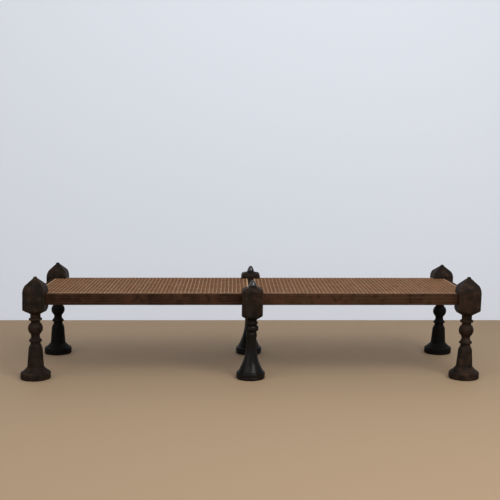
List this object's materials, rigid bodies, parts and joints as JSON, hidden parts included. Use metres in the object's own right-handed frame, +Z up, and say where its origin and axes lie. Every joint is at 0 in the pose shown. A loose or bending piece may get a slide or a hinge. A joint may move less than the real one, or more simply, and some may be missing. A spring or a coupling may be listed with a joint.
{
  "type": "takht day bench",
  "caption": "Long low wooden day bench on turned legs with domed square heads, pegged rails and a flat seat of woven cane.",
  "frame": {"origin": "on the floor, midway between the six legs", "axes": "+X along the bench, +Y from front to back, +Z up"},
  "size_m": [1.84, 0.604, 0.41],
  "materials": {
    "leg_wood": "dark stain, worn satin polish",
    "rail_wood": "reddish dark brown stain, satin",
    "peg_wood": "dark stain, end grain",
    "cane": "natural rattan cane, aged to brown, satin",
    "cane_binder": "flat rattan strip, aged to brown, satin"
  },
  "bodies": {
    "root": {"middle_leg_front": "leg_wood", "leg_pegs_front_middle": "peg_wood", "corner_leg_front_left": "leg_wood", "leg_pegs_front_left": "peg_wood", "side_rail_front_left": "rail_wood", "binder_front_left": "cane_binder", "corner_leg_front_right": "leg_wood", "leg_pegs_front_right": "peg_wood", "side_rail_front_right": "rail_wood", "binder_front_right": "cane_binder", "middle_leg_back": "leg_wood", "leg_pegs_back_middle": "peg_wood", "corner_leg_back_left": "leg_wood", "leg_pegs_back_left": "peg_wood", "side_rail_back_left": "rail_wood", "binder_back_left": "cane_binder", "corner_leg_back_right": "leg_wood", "leg_pegs_back_right": "peg_wood", "side_rail_back_right": "rail_wood", "binder_back_right": "cane_binder", "cross_rail": "rail_wood", "end_rail_left": "rail_wood", "cane_panel_left": "cane", "binder_end_left": "cane_binder", "binder_cross_rail_left": "cane_binder", "end_rail_right": "rail_wood", "cane_panel_right": "cane", "binder_end_right": "cane_binder", "binder_cross_rail_right": "cane_binder"}
  },
  "joints": []
}
